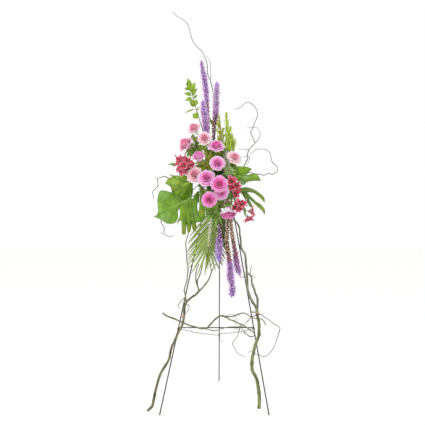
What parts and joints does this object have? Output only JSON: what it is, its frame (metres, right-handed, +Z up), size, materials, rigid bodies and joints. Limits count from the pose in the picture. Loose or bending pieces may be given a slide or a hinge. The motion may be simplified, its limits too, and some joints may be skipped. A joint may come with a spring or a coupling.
{
  "type": "standing funeral spray",
  "caption": "Standing spray of roses, liatris, alstroemeria and leaves on a folding three-legged wire easel dressed with willow.",
  "frame": {"origin": "on the floor, under the middle of the part's bounding box", "axes": "+Z up; -Y is the front, where the flowers face; +X is the viewer's right"},
  "size_m": [0.6747, 0.7263, 2.078],
  "materials": {
    "black_wire": "satin",
    "brown_string": "matte",
    "raffia": "matte",
    "floral_foam": "matte",
    "green_plastic": "satin",
    "olive_bark": "matte",
    "grey_bark": "matte",
    "pink_petal": "soft satin",
    "light_pink_petal": "soft satin",
    "crimson_petal": "soft satin",
    "violet_floret": "matte",
    "green_leaf": "waxy satin",
    "palm_leaf": "waxy satin",
    "lime_bract": "matte"
  },
  "bodies": {
    "front_frame": {"front_leg_left": "black_wire", "front_leg_right": "black_wire", "crossbar": "black_wire", "top_bar": "black_wire", "stay_cord": "brown_string", "raffia_tie_left": "raffia", "raffia_tie_right": "raffia", "foam_block": "floral_foam", "foam_tray": "green_plastic", "branch_left": "olive_bark", "branch_right": "olive_bark", "branch_cross": "olive_bark", "willow_top": "grey_bark", "willow_right": "grey_bark", "willow_loop": "grey_bark", "willow_left": "grey_bark", "willow_left_low": "grey_bark", "alstroemeria_left": "crimson_petal", "alstroemeria_right": "crimson_petal", "alstroemeria_low": "crimson_petal", "liatris_up_left": "violet_floret", "liatris_up_low": "violet_floret", "liatris_up_right": "violet_floret", "liatris_down_left": "violet_floret", "liatris_down_middle": "violet_floret", "liatris_down_right": "violet_floret", "lime_spike_tall": "lime_bract", "lime_spike_left": "lime_bract", "lime_spike_right": "lime_bract", "split_leaf_upper_left": "green_leaf", "split_leaf_large_left": "green_leaf", "split_leaf_upper_right": "green_leaf", "split_leaf_lower_right": "green_leaf", "ruscus_stem": "green_leaf", "greenery_upper": "green_leaf", "greenery_middle": "green_leaf", "greenery_low": "green_leaf", "star_filler": "green_leaf", "palm_frond": "palm_leaf", "rose_1": "light_pink_petal", "rose_2": "light_pink_petal", "rose_3": "pink_petal", "rose_4": "pink_petal", "rose_5": "pink_petal", "rose_6": "pink_petal", "rose_7": "light_pink_petal", "rose_8": "light_pink_petal", "rose_9": "pink_petal", "rose_10": "pink_petal", "rose_11": "pink_petal", "rose_12": "pink_petal", "rose_13": "light_pink_petal"},
    "rear_leg": {"rear_leg": "black_wire"}
  },
  "joints": [
    {"name": "rear_leg_fold", "type": "hinge", "parent": "front_frame", "child": "rear_leg", "pos_m": [0.03462, -0.00926, 1.37], "axis": [1, 0, 0], "range_deg": [-22, 0], "deforming": ["stay_cord"]}
  ]
}
